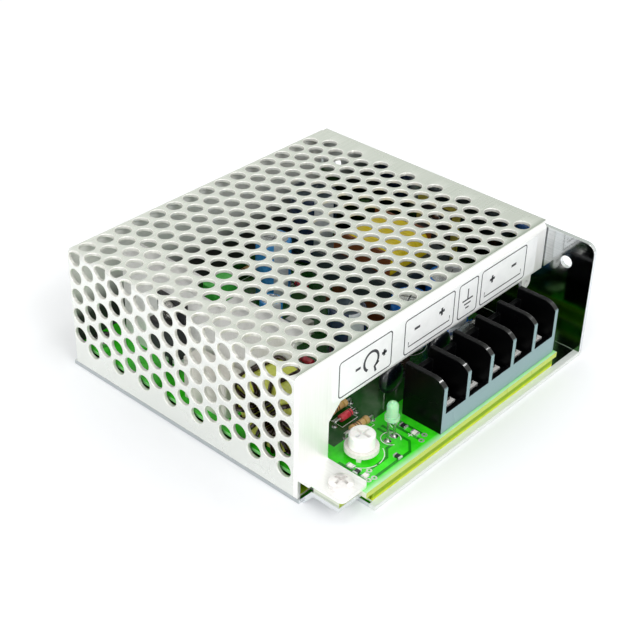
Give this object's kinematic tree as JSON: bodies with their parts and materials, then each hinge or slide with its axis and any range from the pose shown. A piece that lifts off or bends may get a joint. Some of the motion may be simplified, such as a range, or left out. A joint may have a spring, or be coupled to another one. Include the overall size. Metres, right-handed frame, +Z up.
{
  "type": "enclosed dc-dc converter",
  "caption": "Enclosed dc-dc converter: folded aluminium chassis, perforated cover and a barrier terminal block with clamp screws; holds a board with transformer, capacitors and trimmer",
  "frame": {"origin": "centre of the bounding box on the standing surface, under the base plate", "axes": "X to the right along the terminals seen from the terminal side, -Y the terminal side, Z up"},
  "size_m": [0.099, 0.098, 0.036],
  "materials": {
    "chassis_metal": "polished",
    "cover_metal": "satin",
    "screw_steel": "bright nickel",
    "label_white": "satin film",
    "insulation_film": "satin film",
    "board_green": "gloss solder mask",
    "standoff_metal": "turned",
    "block_black": "gloss moulded",
    "tin_plate": "bright tin",
    "trimmer_ceramic": "satin",
    "trimmer_white": "gloss moulded",
    "led_green": "clear tinted",
    "ferrite": "matt sintered",
    "bobbin_plastic": "moulded",
    "tape_yellow": "film tape",
    "powder_core": "coated",
    "copper_wire": "enamelled",
    "sleeve_blue": "shrink sleeve",
    "sleeve_dark": "shrink sleeve",
    "sleeve_azure": "shrink sleeve",
    "disc_blue": "dipped",
    "film_cream": "moulded",
    "film_green": "dipped",
    "heatsink_metal": "mill finish",
    "package_black": "moulded",
    "package_white": "moulded",
    "pad_olive": "matt",
    "resistor_tan": "lacquer",
    "diode_red": "glass",
    "fuse_glass": "clear"
  },
  "bodies": {
    "case": {"chassis": "chassis_metal", "cover": "cover_metal", "cover_screws": "screw_steel", "terminal_label": "label_white", "insulation_sheet": "insulation_film", "pcb": "board_green", "pcb_standoffs": "standoff_metal", "pcb_screws": "screw_steel", "terminal_housing": "block_black", "terminal_strips": "tin_plate", "trimmer_body": "trimmer_ceramic", "led_lens": "led_green", "led_leads": "tin_plate", "transformer_core": "ferrite", "transformer_bobbin": "bobbin_plastic", "transformer_winding": "tape_yellow", "output_choke_core": "powder_core", "output_choke_winding": "copper_wire", "input_choke_core": "ferrite", "input_choke_winding": "copper_wire", "input_capacitors": "sleeve_blue", "output_capacitors": "sleeve_dark", "aux_capacitors": "sleeve_azure", "disc_capacitors": "disc_blue", "film_capacitor": "film_cream", "green_capacitor": "film_green", "rectifier_heatsink": "heatsink_metal", "output_rectifier": "package_black", "rectifier_screw": "screw_steel", "switching_transistor": "package_black", "transistor_pad": "pad_olive", "transistor_screw": "screw_steel", "controller_ic": "package_black", "optocoupler": "package_white", "resistors_axial": "resistor_tan", "diodes_axial": "diode_red", "fuse": "fuse_glass"},
    "clamp_1": {"clamp_washer_1": "tin_plate"},
    "screw_1": {"terminal_screw_1": "screw_steel"},
    "clamp_2": {"clamp_washer_2": "tin_plate"},
    "screw_2": {"terminal_screw_2": "screw_steel"},
    "clamp_3": {"clamp_washer_3": "tin_plate"},
    "screw_3": {"terminal_screw_3": "screw_steel"},
    "clamp_4": {"clamp_washer_4": "tin_plate"},
    "screw_4": {"terminal_screw_4": "screw_steel"},
    "clamp_5": {"clamp_washer_5": "tin_plate"},
    "screw_5": {"terminal_screw_5": "screw_steel"},
    "trimmer": {"trimmer_rotor": "trimmer_white"}
  },
  "joints": [
    {"name": "clamp_lift_1", "type": "slide", "parent": "case", "child": "clamp_1", "axis": [0, 0, 1], "range_m": [0, 0.003]},
    {"name": "screw_turn_1", "type": "hinge", "parent": "clamp_1", "child": "screw_1", "pos_m": [-0.00695, -0.0409, 0.0125], "axis": [0, 0, 1], "range_deg": [0, 1800]},
    {"name": "clamp_lift_2", "type": "slide", "parent": "case", "child": "clamp_2", "axis": [0, 0, 1], "range_m": [0, 0.003]},
    {"name": "screw_turn_2", "type": "hinge", "parent": "clamp_2", "child": "screw_2", "pos_m": [0.00255, -0.0409, 0.0125], "axis": [0, 0, 1], "range_deg": [0, 1800]},
    {"name": "clamp_lift_3", "type": "slide", "parent": "case", "child": "clamp_3", "axis": [0, 0, 1], "range_m": [0, 0.003]},
    {"name": "screw_turn_3", "type": "hinge", "parent": "clamp_3", "child": "screw_3", "pos_m": [0.01205, -0.0409, 0.0125], "axis": [0, 0, 1], "range_deg": [0, 1800]},
    {"name": "clamp_lift_4", "type": "slide", "parent": "case", "child": "clamp_4", "axis": [0, 0, 1], "range_m": [0, 0.003]},
    {"name": "screw_turn_4", "type": "hinge", "parent": "clamp_4", "child": "screw_4", "pos_m": [0.02155, -0.0409, 0.0125], "axis": [0, 0, 1], "range_deg": [0, 1800]},
    {"name": "clamp_lift_5", "type": "slide", "parent": "case", "child": "clamp_5", "axis": [0, 0, 1], "range_m": [0, 0.003]},
    {"name": "screw_turn_5", "type": "hinge", "parent": "clamp_5", "child": "screw_5", "pos_m": [0.03105, -0.0409, 0.0125], "axis": [0, 0, 1], "range_deg": [0, 1800]},
    {"name": "trimmer_turn", "type": "hinge", "parent": "case", "child": "trimmer", "pos_m": [-0.0312, -0.0379, 0.00926], "axis": [0, 0, 1], "range_deg": [-105, 105]}
  ],
  "couplings": [
    {"joint": "screw_turn_1", "follows": "clamp_lift_1", "rad_per_m": 10472},
    {"joint": "screw_turn_2", "follows": "clamp_lift_2", "rad_per_m": 10472},
    {"joint": "screw_turn_3", "follows": "clamp_lift_3", "rad_per_m": 10472},
    {"joint": "screw_turn_4", "follows": "clamp_lift_4", "rad_per_m": 10472},
    {"joint": "screw_turn_5", "follows": "clamp_lift_5", "rad_per_m": 10472}
  ]
}
